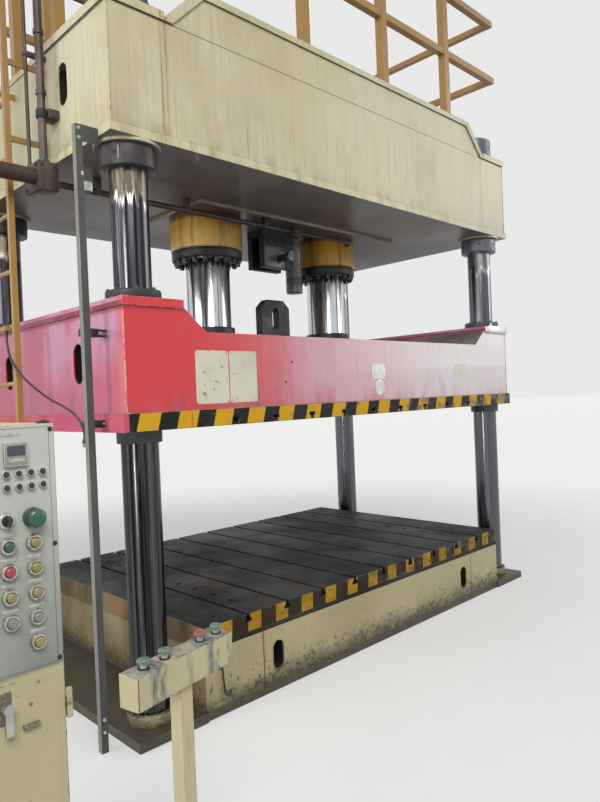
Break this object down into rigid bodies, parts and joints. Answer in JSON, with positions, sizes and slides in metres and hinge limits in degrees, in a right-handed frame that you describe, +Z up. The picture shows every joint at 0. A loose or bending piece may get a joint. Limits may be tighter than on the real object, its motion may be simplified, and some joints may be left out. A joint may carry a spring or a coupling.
{
  "type": "four-column hydraulic press",
  "caption": "Four-column hydraulic press with a sliding ram, slotted bolster, crown, guard rail, ladder, control cabinet and two-hand button stand",
  "frame": {"origin": "on the floor, midway between the four columns", "axes": "+X runs along the press towards the end away from the cabinet, +Y runs from the front to the rear, +Z is up"},
  "size_m": [5.152, 3.557, 4.87],
  "materials": {
    "cream_paint": "satin, dusty",
    "red_paint": "gloss",
    "machined_steel": "machined, oily",
    "hard_chrome": "polished",
    "oiled_column": "polished under oil",
    "blackened_steel": "blackened",
    "ochre_paint": "satin, stained",
    "grey_green_paint": "satin",
    "yellow_paint": "satin",
    "brown_pipe": "satin, oily",
    "panel_grey": "satin",
    "green_plastic": "gloss",
    "red_plastic": "gloss",
    "amber_plastic": "gloss",
    "grey_plastic": "gloss",
    "black_plastic": "matt",
    "black_rubber": "matt"
  },
  "bodies": {
    "press_frame": {"bed": "cream_paint", "bolster": "machined_steel", "button_stand": "cream_paint", "cabinet": "cream_paint", "column_front_left": "oiled_column", "column_front_right": "oiled_column", "column_rear_left": "oiled_column", "column_rear_right": "oiled_column", "control_panel": "panel_grey", "cross_pipe": "brown_pipe", "crown": "cream_paint", "cylinder_left": "ochre_paint", "cylinder_right": "ochre_paint", "gland_left": "blackened_steel", "gland_right": "blackened_steel", "guard_rail": "yellow_paint", "ladder": "yellow_paint", "limit_rail": "grey_green_paint", "lock_bracket": "blackened_steel", "lock_ram": "panel_grey", "lower_nut_front_left": "blackened_steel", "lower_nut_front_right": "blackened_steel", "lower_nut_rear_left": "blackened_steel", "lower_nut_rear_right": "blackened_steel", "manifold": "brown_pipe", "signal_cable": "black_rubber", "supply_pipe": "brown_pipe", "upper_nut_front_left": "blackened_steel", "upper_nut_front_right": "blackened_steel", "upper_nut_rear_left": "blackened_steel", "upper_nut_rear_right": "blackened_steel"},
    "slide_body": {"slide": "red_paint", "slide_plate": "machined_steel", "plunger_left": "hard_chrome", "plunger_right": "hard_chrome", "lock_lug": "blackened_steel", "upper_arm": "blackened_steel", "lower_arm": "blackened_steel", "guide_bush_front_left": "blackened_steel", "guide_bush_front_right": "blackened_steel", "guide_bush_rear_left": "blackened_steel", "guide_bush_rear_right": "blackened_steel"},
    "lock_pin_body": {"lock_pin": "hard_chrome"},
    "door": {"cabinet_door": "cream_paint"},
    "handle": {"door_handle": "hard_chrome"},
    "mushroom": {"mushroom_button": "green_plastic"},
    "selector": {"selector_switch": "black_plastic"},
    "button_1": {"push_button_1": "amber_plastic"},
    "button_2": {"push_button_2": "amber_plastic"},
    "button_3": {"push_button_3": "amber_plastic"},
    "button_4": {"push_button_4": "grey_plastic"},
    "button_5": {"push_button_5": "amber_plastic"},
    "button_6": {"push_button_6": "green_plastic"},
    "button_7": {"push_button_7": "red_plastic"},
    "button_8": {"push_button_8": "amber_plastic"},
    "button_9": {"push_button_9": "green_plastic"},
    "palm_1": {"palm_button_1": "green_plastic"},
    "palm_2": {"palm_button_2": "green_plastic"},
    "palm_3": {"palm_button_3": "red_plastic"},
    "palm_4": {"palm_button_4": "green_plastic"}
  },
  "joints": [
    {"name": "slide_travel", "type": "slide", "parent": "press_frame", "child": "slide_body", "axis": [0, 0, 1], "range_m": [-0.55, 0.45]},
    {"name": "lock_pin_slide", "type": "slide", "parent": "press_frame", "child": "lock_pin_body", "axis": [0, 1, 0], "range_m": [0, 0.13]},
    {"name": "door_hinge", "type": "hinge", "parent": "press_frame", "child": "door", "pos_m": [-2.905, -2.515, 0.6], "axis": [0, 0, 1], "range_deg": [0, 110]},
    {"name": "handle_turn", "type": "hinge", "parent": "door", "child": "handle", "pos_m": [-3.03, -2.515, 1.105], "axis": [0, -1, 0], "range_deg": [0, 90]},
    {"name": "selector_turn", "type": "hinge", "parent": "press_frame", "child": "selector", "pos_m": [-3.008, -2.5003, 1.455], "axis": [0, -1, 0], "range_deg": [-45, 45]},
    {"name": "mushroom_press", "type": "slide", "parent": "press_frame", "child": "mushroom", "axis": [0, 1, 0], "range_m": [0, 0.004], "stiffness_N_per_m": 900, "springref_m": -0.004},
    {"name": "button_1_press", "type": "slide", "parent": "press_frame", "child": "button_1", "axis": [0, 1, 0], "range_m": [0, 0.004], "stiffness_N_per_m": 600, "springref_m": -0.004},
    {"name": "button_2_press", "type": "slide", "parent": "press_frame", "child": "button_2", "axis": [0, 1, 0], "range_m": [0, 0.004], "stiffness_N_per_m": 600, "springref_m": -0.004},
    {"name": "button_3_press", "type": "slide", "parent": "press_frame", "child": "button_3", "axis": [0, 1, 0], "range_m": [0, 0.004], "stiffness_N_per_m": 600, "springref_m": -0.004},
    {"name": "button_4_press", "type": "slide", "parent": "press_frame", "child": "button_4", "axis": [0, 1, 0], "range_m": [0, 0.004], "stiffness_N_per_m": 600, "springref_m": -0.004},
    {"name": "button_5_press", "type": "slide", "parent": "press_frame", "child": "button_5", "axis": [0, 1, 0], "range_m": [0, 0.004], "stiffness_N_per_m": 600, "springref_m": -0.004},
    {"name": "button_6_press", "type": "slide", "parent": "press_frame", "child": "button_6", "axis": [0, 1, 0], "range_m": [0, 0.004], "stiffness_N_per_m": 600, "springref_m": -0.004},
    {"name": "button_7_press", "type": "slide", "parent": "press_frame", "child": "button_7", "axis": [0, 1, 0], "range_m": [0, 0.004], "stiffness_N_per_m": 600, "springref_m": -0.004},
    {"name": "button_8_press", "type": "slide", "parent": "press_frame", "child": "button_8", "axis": [0, 1, 0], "range_m": [0, 0.004], "stiffness_N_per_m": 600, "springref_m": -0.004},
    {"name": "button_9_press", "type": "slide", "parent": "press_frame", "child": "button_9", "axis": [0, 1, 0], "range_m": [0, 0.004], "stiffness_N_per_m": 600, "springref_m": -0.004},
    {"name": "palm_1_press", "type": "slide", "parent": "press_frame", "child": "palm_1", "axis": [0, 0, -1], "range_m": [0, 0.008], "stiffness_N_per_m": 900, "springref_m": -0.006},
    {"name": "palm_2_press", "type": "slide", "parent": "press_frame", "child": "palm_2", "axis": [0, 0, -1], "range_m": [0, 0.008], "stiffness_N_per_m": 900, "springref_m": -0.006},
    {"name": "palm_3_press", "type": "slide", "parent": "press_frame", "child": "palm_3", "axis": [0, 0, -1], "range_m": [0, 0.008], "stiffness_N_per_m": 900, "springref_m": -0.006},
    {"name": "palm_4_press", "type": "slide", "parent": "press_frame", "child": "palm_4", "axis": [0, 0, -1], "range_m": [0, 0.008], "stiffness_N_per_m": 900, "springref_m": -0.006}
  ]
}
